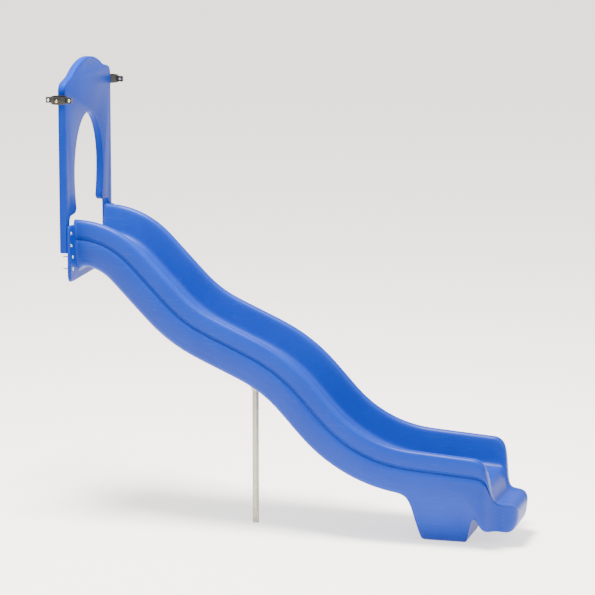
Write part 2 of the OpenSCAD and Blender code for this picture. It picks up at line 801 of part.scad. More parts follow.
// A push-in plug with a breather hole, so that the hollow isn't sealed
module hood_vent_plug() {
    color(moulded_blue) translate([-hood_t, 0, deck_z + vent_up]) rotate([0, 90, 0])
        difference() {
            union() {
                translate([0, 0, -vent_rim_t]) cylinder(h = vent_rim_t, d = vent_d + 2 * vent_rim);
                cylinder(h = skin + 4, d = vent_d);
            }
            translate([0, 0, -2 * vent_rim_t]) cylinder(h = skin + 12, d = breather_d);
        }
}

chute();
hood();
left_clamp_inner();
left_clamp_outer();
right_clamp_inner();
right_clamp_outer();
clamp_bolts();
clamp_nuts();
clamp_lock_screws();
hood_edge_screws();
hood_edge_inserts();
hood_leg_bolts();
hood_leg_washers();
hood_leg_inserts();
deck_bolts();
deck_washers();
saddle_bracket();
saddle_bolts();
saddle_washers();
saddle_inserts();
support_pipe();
pipe_bolt();
pipe_nut();
foot_inserts();
hood_vent_plug();
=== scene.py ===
import math

import bmesh
import bpy
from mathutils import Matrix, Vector


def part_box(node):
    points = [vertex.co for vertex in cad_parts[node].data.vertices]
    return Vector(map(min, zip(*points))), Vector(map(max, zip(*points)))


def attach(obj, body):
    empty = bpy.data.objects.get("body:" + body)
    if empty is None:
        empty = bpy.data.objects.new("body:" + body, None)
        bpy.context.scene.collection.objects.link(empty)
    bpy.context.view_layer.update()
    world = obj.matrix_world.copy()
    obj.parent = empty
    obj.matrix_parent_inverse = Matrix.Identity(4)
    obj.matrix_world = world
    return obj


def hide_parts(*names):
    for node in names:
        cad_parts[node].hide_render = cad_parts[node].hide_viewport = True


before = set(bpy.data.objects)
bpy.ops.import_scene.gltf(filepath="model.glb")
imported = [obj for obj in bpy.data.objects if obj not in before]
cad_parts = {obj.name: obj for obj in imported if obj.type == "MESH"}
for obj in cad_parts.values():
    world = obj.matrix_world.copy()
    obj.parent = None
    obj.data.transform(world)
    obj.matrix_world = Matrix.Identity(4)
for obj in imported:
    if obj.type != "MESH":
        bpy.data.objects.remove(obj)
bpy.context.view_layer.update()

# ---- Sizes in metres. The frame gives the places of the nodes, and these give the moulded shapes. ----

CHUTE_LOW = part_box("chute")[0]
HOOD_LOW, HOOD_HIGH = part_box("hood")
GROUND = CHUTE_LOW.z
PANEL_HALF = HOOD_HIGH.y

SAME_PLACE = 1e-5
NEAR = 1e-4

# The bed's line: a level stretch, then falls and bends, each bend a radius and the slope it ends at
BED_AT_DECK = 0.077
LEVEL_RUN = 0.020
ENTRY_BEND = 5.5
RUN = [
    ("bend", 0.420, ENTRY_BEND), ("even_out",), ("bend", 0.420, 46), ("fall", 0.355),
    ("bend", 0.900, 24), ("fall", 0.335),
    ("bend", 0.880, 48), ("fall", 0.205),
    ("bend", 0.960, 4), ("fall", 0.365),
]
BEND_STEP = 5.5
FALL_STEP = 0.085

# The section
BED_HALF = 0.215
BED_FILLET = 0.050
RAIL_Y = 0.320
RAIL_R = 0.033
SIDE_H = 0.195
UNDER = 0.118
CORNER_R = 0.060
CORNER_TUCK = 0.018
GROOVE_UP = 0.075
GROOVE_DEEP = 0.023
OUTER_HALF = RAIL_Y + RAIL_R
WALL_LEAN = 12
ENTRY_FLARE = 0.030

# The flange: its outline runs from beside the rail down to the middle of its lower edge
FLANGE_T = 0.018
FLANGE_LOW = -0.122
EAR_TOP = 0.252
RIM_BAND = 0.055
MARGIN = 0.001
FLANGE_SIDE = [
    (0.425, EAR_TOP), (0.4585, EAR_TOP - 0.001), (0.4735, EAR_TOP - 0.007), (PANEL_HALF, 0.222),
    (PANEL_HALF, 0.150), (PANEL_HALF, 0.080), (PANEL_HALF, 0.000), (PANEL_HALF, -0.062),
    (0.4745, -0.092), (0.4640, -0.111), (0.4430, FLANGE_LOW), (0.3900, FLANGE_LOW),
    (0.2000, FLANGE_LOW), (0.0000, FLANGE_LOW),
]
FLANGE_ROOT = (1, 1.022, 1.05)
FLANGE_ROOT_Z = 0.20
FLANGE_CREASE = 0.45
# Which of the entry's outer faces it is drawn out of: those beside the entry, and those under it
ENTRY_SIDE = 0.335
ENTRY_SIDE_TOP = 0.2430
ENTRY_UNDER = 0.025
ENTRY_ROUND = 0.30

# The exit: where each change along the lip starts, and over what length
WALL_ROUND = 0.110
LIP_LEN = 0.280
LIP_DROP = 0.115
LIP_DEPTH = 0.308
LIP_HALF = 0.235
LIP_CORNER = 0.100
LIP_NOSE = 0.060
LIP_NOSE_THICK = 0.030
LIP_RINGS = 18
LIP_BEAD = 0.06
LIP_BEAD_LOSS = 0.045
BEAD_FADE = (0.110, 0.120)
BED_ROLL = (0.070, 0.080)
UNDER_FALL = (-0.060, 0.160)
NARROWING = (0.060, 0.100)

# The foot, drawn from this patch of the underside
FOOT_BACK = 2.237
FOOT_FRONT = 2.662
FOOT_HALF = 0.322
FOOT_TOP = -1.40
# Each stage down the foot: height above the ground, back and front edges, half width
FOOT_STAGES = [
    (0.165, 2.255, 2.632, 0.246),
    (0.085, 2.270, 2.612, 0.205),
    (0.030, 2.281, 2.597, 0.172),
    (0.010, 2.287, 2.590, 0.162),
    (0.000, 2.302, 2.576, 0.146),
]

# The moulded pad that the saddle's plate bears on, in the plate's own directions
SADDLE_SLOPE = math.radians(24)
SADDLE_BACK = 0.125
SADDLE_FRONT = 0.060
SADDLE_HALF = 0.062
PAD_EDGE = 0.006
PAD_T = 0.016
PAD_ROUND = 0.003

# Holes: the drain at the back of the foot, and the anchor inserts' seats
DRAIN_R = 0.006
DRAIN_UP = 0.045
DRAIN_DEEP = 0.09
INSERT_R = 0.008
SEAT_R = 0.0082
SEAT_DEEP = 0.0262
SEAT_OPEN = 0.002

# The weld round the leg's sleeve
SLEEVE_WALL = 0.00415
SLEEVE_TOP_DOWN = 0.0614
WELD_R = 0.0030
WELD_STANDS_OFF = 0.0004
WELD_BEADS = 72
WELD_RIPPLE = (1.012, 1.012, 0.86)

# The hood
HOOD_T = 0.050
HOOD_TOP = HOOD_HIGH.z
DOME_R = 0.640
DOME_HALF = 0.300
DOME_STEPS = 11
SHOULDER_R = 0.060
SHOULDER_STEPS = 9
SHOULDER_TURN = 78
NECK_OUT = 0.030
NECK_DOWN = 0.013
SHOULDER_DOWN = 0.020
LEG_PAUSE = 0.70
OPENING_HALF = 0.290
OPENING_TOP = 0.930
OPENING_WAIST = 0.560
WAIST_IN = 0.030
LEG_STEP = 0.300
LEG_INNER = PANEL_HALF - 0.070
STEP_R = 0.040
HOOD_EDGE_R = 0.011


# ---- Small workshop helpers ----


def select_only(piece):
    bpy.ops.object.select_all(action="DESELECT")
    piece.select_set(True)
    bpy.context.view_layer.objects.active = piece


def name_new(name):
    """Names the object that was just added, and its mesh."""
    piece = bpy.context.active_object
    piece.name = name
    piece.data.name = name
    return piece


def start_editing(piece):
    select_only(piece)
    bpy.ops.object.mode_set(mode="EDIT")
    bpy.ops.mesh.select_mode(type="VERT")


def stop_editing():
    bpy.ops.object.mode_set(mode="OBJECT")


def editing(piece):
    """The mesh in edit mode, ready to be read by number."""
    mesh = bmesh.from_edit_mesh(piece.data)
    mesh.verts.ensure_lookup_table()
    return mesh


def select_parts(piece, kind, find):
    """Selects only the parts that find gives from the mesh."""
    bpy.ops.mesh.select_mode(type=kind)
    bpy.ops.mesh.select_all(action="DESELECT")
    mesh = editing(piece)
    for part in find(mesh):
        part.select = True
    if kind == "VERT":
        mesh.select_flush_mode()
    bmesh.update_edit_mesh(piece.data)


def pick_points(piece, wanted):
    """Selects only the points whose place passes the test."""
    select_parts(piece, "VERT", lambda mesh: [v for v in mesh.verts if wanted(v.co)])


def pick_numbers(piece, numbers):
    """Selects only the points with these numbers."""
    select_parts(piece, "VERT", lambda mesh: [mesh.verts[i] for i in numbers])


def pick_edges(piece, wanted):
    """Selects only the edges whose two ends pass the test."""
    select_parts(
        piece, "EDGE", lambda mesh: [e for e in mesh.edges if wanted(e.verts[0].co, e.verts[1].co)]
    )


def pick_faces(piece, wanted):
    """Selects only the faces whose centre and normal pass the test."""
    select_parts(
        piece, "FACE",
        lambda mesh: [f for f in mesh.faces if wanted(f.calc_center_median(), f.normal)],
    )


def draw_out(shift):
    """Extrudes what is selected and moves it by the shift."""
    bpy.ops.mesh.extrude_region_move(TRANSFORM_OT_translate={"value": shift})


def turn_outwards():
    bpy.ops.mesh.select_all(action="SELECT")
    bpy.ops.mesh.normals_make_consistent(inside=False)


def apply_modifiers(piece):
    select_only(piece)
    for m in list(piece.modifiers):
        bpy.ops.object.modifier_apply(modifier=m.name)


def soften_edges(piece, width, steps, sharper_than=None):
    """Rounds every edge, or only the edges that turn by more than the angle in degrees."""
    soft = piece.modifiers.new("softened_edges", "BEVEL")
    soft.width = width
    soft.segments = steps
    if sharper_than:
        soft.limit_method = "ANGLE"
        soft.angle_limit = math.radians(sharper_than)
        soft.harden_normals = True
    apply_modifiers(piece)


def draw_outline(name, points):
    """Draws a closed line through the points, as a chain of extruded points closed at the end."""
    bpy.ops.object.select_all(action="DESELECT")
    bpy.ops.mesh.primitive_plane_add(size=0.01)
    piece = name_new(name)
    start_editing(piece)
    bpy.ops.mesh.select_all(action="SELECT")
    bpy.ops.mesh.merge(type="CENTER")
    bpy.ops.transform.translate(value=points[0])
    for a, b in zip(points, points[1:]):
        bpy.ops.mesh.extrude_vertices_move(TRANSFORM_OT_translate={"value": Vector(b) - Vector(a)})
    ends = (Vector(points[0]), Vector(points[-1]))
    pick_points(piece, lambda co: any((co - end).length < SAME_PLACE for end in ends))
    bpy.ops.mesh.edge_face_add()
    stop_editing()
    return piece


def ease(k):
    """From 0 to 1 with a soft start and a soft end."""
    c = min(1.0, max(0.0, k))
    return c * c * (3 - 2 * c)


def quarter(k):
    """From 0 to 1 along a quarter of a circle, level at first and steep at the end."""
    c = min(1.0, max(0.0, k))
    return 1 - math.sqrt(1 - c * c)


def arc(cx, cy, r, angles):
    """Points round a centre at the angles in degrees."""
    return [(cx + r * math.cos(math.radians(a)), cy + r * math.sin(math.radians(a))) for a in angles]


# ---- The chute ----


def half_section(deep):
    """The section's right half as (across, up), from the bed's middle round to the underside's."""
    rail_up = SIDE_H - RAIL_R
    lower = deep / UNDER
    foot_of_wall = arc(BED_HALF, BED_FILLET, BED_FILLET, [-WALL_LEAN])[0]
    top_of_wall = arc(RAIL_Y, rail_up, RAIL_R, [180 - WALL_LEAN])[0]
    wall = [
        tuple(a + (b - a) * t for a, b in zip(foot_of_wall, top_of_wall)) for t in (0.25, 0.5, 0.75)
    ]
    side = [
        (OUTER_HALF, GROOVE_UP + 0.023),
        (OUTER_HALF - 0.003, GROOVE_UP + 0.015),
        (OUTER_HALF - GROOVE_DEEP, GROOVE_UP),
        (OUTER_HALF - 0.006, GROOVE_UP - 0.017),
        (OUTER_HALF - 0.001, GROOVE_UP - 0.030),
        (OUTER_HALF - 0.003, 0.005),
        (OUTER_HALF - 0.009, -0.032 * lower),
    ]
    corner = arc(
        OUTER_HALF - CORNER_TUCK - CORNER_R, CORNER_R - UNDER, CORNER_R, [0, -30, -60, -90]
    )
    return (
        [(0, 0), (0.07, 0), (0.14, 0), (0.185, 0)]
        + arc(BED_HALF, BED_FILLET, BED_FILLET, [-90, -67, -45, -26, -WALL_LEAN])
        + wall
        + arc(RAIL_Y, rail_up, RAIL_R, [180 - WALL_LEAN, 142, 116, 90, 50, 8])
        + side
        + [(y, n * lower) for y, n in corner]
        + [(0.14, -deep), (0, -deep)]
    )


# Points round the whole section, and from the bed's middle to the rail's crest
RING = 2 * (len(half_section(UNDER)) - 1)
CREST = 15


def walk_ring(piece, numbers):
    """The numbers of a ring's points in order, from the middle of the bed round by the left."""
    mesh = editing(piece)
    ring = set(numbers)
    here = max(ring, key=lambda i: (abs(mesh.verts[i].co.y) < SAME_PLACE, mesh.verts[i].co.z))
    order, last = [here], None
    while len(order) < len(ring):
        point = mesh.verts[here]
        beside = [e.other_vert(point).index for e in point.link_edges]
        ahead = [i for i in beside if i in ring and i != last]
        step = max(ahead, key=lambda i: mesh.verts[i].co.y) if last is None else ahead[0]
        last, here = here, step
        order.append(here)
    return order


def close_end(piece, numbers):
    """Closes an open end of the chute with strips from the bed's side across to the outside."""
    half = RING // 2
    order = walk_ring(piece, numbers)
    for side in (1, -1):
        for i in range(CREST):
            corners = (i, i + 1, half - i - 1, half - i)
            pick_numbers(piece, {order[(side * c) % RING] for c in corners})
            bpy.ops.mesh.edge_face_add()


def newest_ring(piece):
    """The numbers of the points in the ring that was drawn out last."""
    count = len(bmesh.from_edit_mesh(piece.data).verts)
    return range(count - RING, count)


def places(piece, numbers):
    """Where the points with these numbers are."""
    mesh = editing(piece)
    return {i: mesh.verts[i].co.copy() for i in numbers}


def scale_lower_part(piece, x, bed, share):
    """Makes the newest ring thinner or thicker below the bed."""
    ring = places(piece, newest_ring(piece))
    pick_numbers(piece, {i for i, co in ring.items() if co.z < bed - NEAR - abs(co.x - x)})
    bpy.ops.transform.resize(value=(share, 1, share), center_override=(x, 0, bed))
    pick_numbers(piece, set(ring))


def sweep_run(piece):
    """Carries the section down the run: a spin for each bend and extrusions for each fall."""
    x, z, slope = LEVEL_RUN, BED_AT_DECK, 0.0
    for leg in RUN:
        if leg[0] == "even_out":
            scale_lower_part(piece, x, z, UNDER / (UNDER + ENTRY_FLARE))
        elif leg[0] == "fall":
            steps = max(1, round(leg[1] / FALL_STEP))
            step = leg[1] / steps
            run = Vector((step * math.cos(slope), 0, -step * math.sin(slope)))
            for _ in range(steps):
                draw_out(run)
            x += run.x * steps
            z += run.z * steps
        else:
            radius, end = leg[1], math.radians(leg[2])
            way = 1 if end > slope else -1
            centre = (x - way * radius * math.sin(slope), 0, z - way * radius * math.cos(slope))
            steps = max(1, round(abs(math.degrees(end - slope)) / BEND_STEP))
            bpy.ops.mesh.spin(
                steps=steps, angle=slope - end, center=centre, axis=(0, 1, 0), use_auto_merge=False
            )
            x = centre[0] + way * radius * math.sin(end)
            z = centre[2] + way * radius * math.cos(end)
            slope = end
    return x, z, slope


def along(e, stretch):
    """How far the place e is through a change, given as where it starts and its length."""
    return ease((e - stretch[0]) / stretch[1])


def lip_shape(e):
    """Along the exit: the rails' share of their height, the bed's drop, the thickness, half width."""
    nose = quarter((e - LIP_LEN + LIP_NOSE) / LIP_NOSE)
    bead = LIP_BEAD - LIP_BEAD_LOSS * along(e, BEAD_FADE)
    rise = max(bead, 1 - quarter(e / WALL_ROUND))
    drop = LIP_DROP * along(e, BED_ROLL) + LIP_NOSE * nose
    bottom = UNDER + (LIP_DEPTH - UNDER) * along(e, UNDER_FALL)
    bottom -= (LIP_DEPTH - LIP_DROP - LIP_NOSE - LIP_NOSE_THICK) * nose
    half_w = OUTER_HALF - (OUTER_HALF - LIP_HALF) * along(e, NARROWING)
    half_w -= LIP_CORNER * quarter((e - LIP_LEN + LIP_CORNER) / LIP_CORNER)
    return rise, drop, bottom - drop, half_w


def shape_lip(piece, x, z, slope):
    """Draws the exit out ring by ring: rails round down, the bed rolls over, the underside falls."""
    stops = [-0.040, -0.020, 0.0]
    stops += [LIP_LEN * math.sin(math.pi / 2 * i / LIP_RINGS) for i in range(1, LIP_RINGS + 1)]
    down = Vector((math.cos(slope), 0, -math.sin(slope)))
    up = Vector((math.sin(slope), 0, math.cos(slope)))
    e = UNDER_FALL[0]
    was = lip_shape(e)
    for stop in stops:
        now = lip_shape(stop)
        run = down * (stop - e)
        draw_out(run)
        x, z, e = x + run.x, z + run.z, stop
        bed = Vector((x, 0, z)) - up * was[1]
        ring = places(piece, newest_ring(piece))
        bpy.ops.transform.resize(value=(1, now[3] / was[3], 1), center_override=bed)
        rails, under = now[0] / was[0], now[2] / was[2]
        pick_numbers(piece, {i for i, co in ring.items() if co.z > bed.z + SAME_PLACE})
        bpy.ops.transform.resize(value=(rails, 1, rails), center_override=bed)
        pick_numbers(piece, {i for i, co in ring.items() if co.z < bed.z - SAME_PLACE})
        bpy.ops.transform.resize(value=(under, 1, under), center_override=bed)
        pick_numbers(piece, set(ring))
        bpy.ops.transform.translate(value=up * (was[1] - now[1]))
        was = now


def fit_selection(piece, low, high):
    """Moves and sizes what is selected so that it fills the box between two corners."""
    mesh = bmesh.from_edit_mesh(piece.data)
    chosen = [v.co for v in mesh.verts if v.select]
    a = Vector([min(c[i] for c in chosen) for i in range(3)])
    b = Vector([max(c[i] for c in chosen) for i in range(3)])
    share = [(high[i] - low[i]) / (b[i] - a[i]) if b[i] - a[i] > 1e-6 else 1 for i in range(3)]
    bpy.ops.transform.resize(value=share, center_override=a)
    bpy.ops.transform.translate(value=Vector(low) - a)


def draw_out_foot(piece):
    """Draws the foot down to the ground from the underside behind the exit."""
    pick_faces(
        piece,
        lambda c, n: FOOT_BACK < c.x < FOOT_FRONT and abs(c.y) < FOOT_HALF
        and c.z < FOOT_TOP and n.z < -0.3,
    )
    for up, back, front, half_w in FOOT_STAGES:
        z = GROUND + up
        draw_out((0, 0, -0.01))
        fit_selection(piece, (back, -half_w, z), (front, half_w, z))


def on_entry_side(c, n):
    """Whether a face lies on the outside of the flange's thickness, beside or under the entry."""
    if abs(n.x) > 0.5 or not MARGIN < c.x < FLANGE_T - MARGIN:
        return False
    return (abs(c.y) > ENTRY_SIDE and c.z < ENTRY_SIDE_TOP) or c.z < ENTRY_UNDER


def on_flange_rim(co):
    """Whether a point lies on the rim of the finished flange, at its sides or along its foot."""
    if co.x > FLANGE_T + MARGIN:
        return False
    on_side = abs(co.y) > PANEL_HALF - RIM_BAND and co.z > FLANGE_LOW - 8 * MARGIN
    return on_side or co.z < FLANGE_LOW + MARGIN


def draw_out_flange(piece):
    """Draws the flange out of the entry's outer faces, with a narrow root that keeps its fillet."""
    pick_faces(piece, on_entry_side)
    draw_out((0, 0, 0))
    bpy.ops.transform.resize(value=FLANGE_ROOT, center_override=(0, 0, FLANGE_ROOT_Z))
    draw_out((0, 0, 0))
    mesh = bmesh.from_edit_mesh(piece.data)
    drawn = {v.index: v.co.copy() for v in mesh.verts if v.select}

    def down_the_side(i, side):
        across = -drawn[i].y * side
        return (-drawn[i].z, across) if abs(drawn[i].y) > ENTRY_ROUND else (1.0, across)

    for side in (1, -1):
        ordered = sorted(
            (i for i, co in drawn.items() if co.x < 0.005 and co.y * side > -NEAR),
            key=lambda i: down_the_side(i, side),
        )
        for i, (y, z) in zip(ordered, FLANGE_SIDE):
            if y == 0 and side < 0:
                continue
            start = drawn[i]
            pair = {
                j for j, co in drawn.items()
                if abs(co.y - start.y) < SAME_PLACE and abs(co.z - start.z) < SAME_PLACE
            }
            pick_numbers(piece, pair)
            bpy.ops.transform.translate(value=(0, y * side - start.y, z - start.z))
    pick_edges(piece, lambda a, b: abs(a.x - b.x) < NEAR and on_flange_rim(a) and on_flange_rim(b))
    bpy.ops.transform.edge_crease(value=FLANGE_CREASE)


def make_chute():
    half = half_section(UNDER + ENTRY_FLARE)
    ring = half + [(-y, n) for y, n in reversed(half[1:-1])]
    piece = draw_outline("chute_moulding", [(0, y, BED_AT_DECK + n) for y, n in ring])
    start_editing(piece)
    bpy.ops.mesh.select_all(action="SELECT")
    for step in (FLANGE_T, LEVEL_RUN - FLANGE_T):
        draw_out((step, 0, 0))
    x, z, slope = sweep_run(piece)
    shape_lip(piece, x, z, slope)
    close_end(piece, range(RING))
    close_end(piece, newest_ring(piece))
    pick_edges(piece, lambda a, b: abs(a.x - LEVEL_RUN) < NEAR and abs(b.x - LEVEL_RUN) < NEAR)
    bpy.ops.mesh.dissolve_edges()
    turn_outwards()
    draw_out_foot(piece)
    draw_out_flange(piece)
    turn_outwards()
    stop_editing()
    rounding = piece.modifiers.new("moulded_rounding", "SUBSURF")
    rounding.levels = 2
    rounding.render_levels = 2
    apply_modifiers(piece)
    return piece


def combine(piece, other, operation):
    """Fuses the other piece into this one, or cuts it away, and takes the other out of the scene."""
    made = piece.modifiers.new("combined", "BOOLEAN")
    made.object = other
    made.operation = operation
    made.solver = "EXACT"
    apply_modifiers(piece)
    bpy.data.objects.remove(other)


def add_peg(name, radius, deep, place, turn):
    """A round cutter, made at its size and place."""
    bpy.ops.object.select_all(action="DESELECT")
    bpy.ops.mesh.primitive_cylinder_add(
        vertices=40, radius=radius, depth=deep, location=place, rotation=turn
    )
    peg = name_new(name)
    bpy.ops.object.transform_apply(location=True, rotation=True, scale=True)
    return peg


def add_block(name, size, place, turn_y, edge, steps):
    """A block with softened edges, made at its size and place."""
    bpy.ops.object.select_all(action="DESELECT")
    bpy.ops.mesh.primitive_cube_add(size=1, location=place, rotation=(0, turn_y, 0), scale=size)
    block = name_new(name)
    bpy.ops.object.transform_apply(location=True, rotation=True, scale=True)
    soften_edges(block, edge, steps)
    return block


def finish_moulding(chute):
    """Adds the saddle's pad under the chute, and cuts the foot's drain and its inserts' seats."""
    plate_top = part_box("saddle_bracket")[1].z
    pipe_low, pipe_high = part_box("support_pipe")
    leg_x = (pipe_low.x + pipe_high.x) / 2
    plate_z = plate_top - SADDLE_BACK * math.sin(SADDLE_SLOPE)
    middle = (SADDLE_FRONT - SADDLE_BACK) / 2
    up = PAD_T / 2
    place = (
        leg_x + middle * math.cos(SADDLE_SLOPE) + up * math.sin(SADDLE_SLOPE), 0,
        plate_z - middle * math.sin(SADDLE_SLOPE) + up * math.cos(SADDLE_SLOPE),
    )
    size = (SADDLE_BACK + SADDLE_FRONT + 2 * PAD_EDGE, 2 * (SADDLE_HALF + PAD_EDGE), PAD_T)
    combine(chute, add_block("saddle_pad", size, place, SADDLE_SLOPE, PAD_ROUND, 3), "UNION")
    drain = (FOOT_STAGES[2][1], 0, GROUND + DRAIN_UP)
    cutter = add_peg("drain", DRAIN_R, DRAIN_DEEP, drain, (0, math.pi / 2, 0))
    combine(chute, cutter, "DIFFERENCE")
    first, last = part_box("foot_inserts")
    for x in (first.x + INSERT_R, last.x - INSERT_R):
        seat = (x, 0, GROUND + SEAT_DEEP / 2 - SEAT_OPEN)
        cutter = add_peg("seat", SEAT_R, SEAT_DEEP + 2 * SEAT_OPEN, seat, (0, 0, 0))
        combine(chute, cutter, "DIFFERENCE")


def make_weld():
    """The weld round the top of the leg's sleeve, with the ripples that the run leaves."""
    low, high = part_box("support_pipe")
    sleeve_r = (high.x - low.x) / 2 + SLEEVE_WALL
    place = ((low.x + high.x) / 2, 0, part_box("saddle_bracket")[1].z - SLEEVE_TOP_DOWN)
    bpy.ops.object.select_all(action="DESELECT")
    bpy.ops.mesh.primitive_torus_add(
        major_segments=2 * WELD_BEADS, minor_segments=10,
        major_radius=sleeve_r + WELD_STANDS_OFF, minor_radius=WELD_R, location=(0, 0, 0),
    )
    weld = name_new("sleeve_weld")
    start_editing(weld)
    step = math.pi / WELD_BEADS
    pick_points(weld, lambda co: round(math.atan2(co.y, co.x) / step) % 2 == 0)
    bpy.ops.transform.resize(value=WELD_RIPPLE, center_override=(0, 0, 0))
    bpy.ops.mesh.select_all(action="SELECT")
    bpy.ops.transform.resize(value=(1 / math.cos(SADDLE_SLOPE), 1, 1), center_override=(0, 0, 0))
    bpy.ops.transform.rotate(value=-SADDLE_SLOPE, orient_axis="Y", center_override=(0, 0, 0))
    bpy.ops.transform.translate(value=place)
    bpy.ops.mesh.normals_make_consistent(inside=False)
    stop_editing()
    return weld


# ---- The hood ----


def hood_outline():
    """The hood's edge from the top round the right leg and up the opening, then mirrored."""
    reach = math.degrees(math.asin(DOME_HALF / DOME_R))
    dome = [reach * i / DOME_STEPS for i in range(DOME_STEPS + 1)]
    outer = [
        (DOME_R * math.sin(math.radians(a)), HOOD_TOP - DOME_R + DOME_R * math.cos(math.radians(a)))
        for a in dome
    ]
    shoulder_z = outer[-1][1] - NECK_DOWN
    outer.append((DOME_HALF + NECK_OUT, shoulder_z))
    turn = [SHOULDER_TURN - SHOULDER_TURN * i / SHOULDER_STEPS for i in range(SHOULDER_STEPS + 1)]
    outer += arc(
        PANEL_HALF - SHOULDER_R, shoulder_z - SHOULDER_DOWN - SHOULDER_R, SHOULDER_R, turn
    )
    outer += [(PANEL_HALF, LEG_PAUSE), (PANEL_HALF, HOOD_LOW.z), (LEG_INNER, HOOD_LOW.z)]
    waist_y = OPENING_HALF - WAIST_IN
    step = [
        (LEG_INNER, LEG_STEP - STEP_R), (LEG_INNER - 0.004, LEG_STEP - 0.024),
        (LEG_INNER - 0.012, LEG_STEP - 0.011), (LEG_INNER - 0.024, LEG_STEP - 0.003),
        (LEG_INNER - STEP_R, LEG_STEP), (waist_y + 0.032, LEG_STEP + 0.003),
        (waist_y + 0.013, LEG_STEP + 0.012), (waist_y + 0.003, LEG_STEP + 0.026),
        (waist_y, LEG_STEP + STEP_R),
    ]
    fall = OPENING_WAIST - LEG_STEP - STEP_R
    waist = [
        (OPENING_HALF - WAIST_IN * (a / 40) ** 2, OPENING_WAIST - fall * a / 40)
        for a in range(35, 0, -5)
    ]
    top = [
        (OPENING_HALF * math.cos(math.radians(a)),
         OPENING_WAIST + (OPENING_TOP - OPENING_WAIST) * math.sin(math.radians(a)))
        for a in range(0, 91, 5)
    ]
    right = outer + step + waist + top
    return right + [(-y, z) for y, z in reversed(right[1:-1])]


def make_hood():
    piece = draw_outline("hood_moulding", [(-HOOD_T, y, z) for y, z in hood_outline()])
    start_editing(piece)
    bpy.ops.mesh.select_all(action="SELECT")
    bpy.ops.mesh.edge_face_add()
    draw_out((HOOD_T, 0, 0))
    turn_outwards()
    stop_editing()
    soften_edges(piece, HOOD_EDGE_R, 5, sharper_than=40)
    return piece


# ---- Metal pieces: the frame's own shapes, with the edges that casting and forging leave ----


def soften(node, name, edge, steps):
    """A copy of a node, merged, cleared of needless edges, and with its sharp edges rounded."""
    source = bpy.data.objects[node]
    piece = source.copy()
    piece.data = source.data.copy()
    piece.name = name
    piece.data.name = name
    piece.animation_data_clear()
    bpy.context.collection.objects.link(piece)
    for key in list(piece.keys()):
        if key.startswith("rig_"):
            del piece[key]
    start_editing(piece)
    bpy.ops.mesh.select_all(action="SELECT")
    bpy.ops.mesh.remove_doubles(threshold=SAME_PLACE)
    bpy.ops.mesh.dissolve_limited(angle_limit=math.radians(2))
    bpy.ops.mesh.normals_make_consistent(inside=False)
    stop_editing()
    soften_edges(piece, edge, steps, sharper_than=32)
    return piece


# ---- Small helpers for nodes ----


def add(tree, kind, values=None, **settings):
    """Adds a node, sets its settings, and feeds each input with a constant or a link."""
    made = tree.nodes.new(kind)
    for key, value in settings.items():
        setattr(made, key, value)
    for key, value in (values or {}).items():
        if isinstance(value, bpy.types.NodeSocket):
            tree.links.new(value, made.inputs[key])
        else:
            made.inputs[key].default_value = value
    return made


def noise(tree, place, scale, detail, **more):
    values = {"Vector": place, "Scale": scale, "Detail": detail, **more}
    return add(tree, "ShaderNodeTexNoise", values).outputs


def reckon(tree, operation, a, b, clamp=False):
    """One step of arithmetic on two numbers."""
    return add(tree, "ShaderNodeMath", {0: a, 1: b}, operation=operation, use_clamp=clamp).outputs[0]


def reckon_place(tree, operation, a, b):
    """One step of arithmetic on two places or directions."""
    return add(tree, "ShaderNodeVectorMath", {0: a, 1: b}, operation=operation).outputs


def fade_in(tree, value, start, end):
    """From 0 where the value is at its start to 1 where it is at its end."""
    values = {"Value": value, "From Min": start, "From Max": end}
    return add(tree, "ShaderNodeMapRange", values, clamp=True).outputs[0]


def between(tree, share, low, high):
    values = {"Value": share, "To Min": low, "To Max": high}
    return add(tree, "ShaderNodeMapRange", values).outputs[0]


def mix(tree, share, a, b):
    values = {"Factor": share, 6: a, 7: b}
    return add(tree, "ShaderNodeMix", values, data_type="RGBA", blend_type="MIX").outputs[2]


# ---- Node groups shared by the finishes ----

NUMBER = "NodeSocketFloat"
PLACE = ("Place", "NodeSocketVector", None)


def new_group(name, inputs, outputs):
    tree = bpy.data.node_groups.new(name, "ShaderNodeTree")
    for label, kind, value in inputs:
        socket = tree.interface.new_socket(label, in_out="INPUT", socket_type=kind)
        if value is not None:
            socket.default_value = value
    for label in outputs:
        tree.interface.new_socket(label, in_out="OUTPUT", socket_type=NUMBER)
    return tree, add(tree, "NodeGroupInput").outputs


def finish_group(tree, **results):
    add(tree, "NodeGroupOutput", results)
    return tree


def mould_grain():
    """The skin that a heated mould leaves: a fine orange peel over a slow swell."""
    tree, given = new_group(
        "mould_grain", [PLACE, ("Peel", NUMBER, 1.0), ("Swell", NUMBER, 1.0)], ["Height"]
    )
    peel = noise(tree, given["Place"], 420.0, 2.0)["Fac"]
    swell = noise(tree, given["Place"], 5.5, 2.0)["Fac"]
    fine = reckon(tree, "MULTIPLY", peel, given["Peel"])
    slow = reckon(tree, "MULTIPLY", swell, given["Swell"])
    return finish_group(tree, Height=reckon(tree, "ADD", fine, slow))


def sun_mottle():
    """Slow patches of paler and deeper colour, as daylight and handling leave on a moulding."""
    tree, given = new_group(
        "sun_mottle", [PLACE, ("Size", NUMBER, 2.5), ("Amount", NUMBER, 0.1)], ["Shade"]
    )
    patches = noise(tree, given["Place"], given["Size"], 6.0, Roughness=0.62)["Fac"]
    centred = reckon(tree, "SUBTRACT", patches, 0.5)
    return finish_group(tree, Shade=reckon(tree, "MULTIPLY", centred, given["Amount"]))


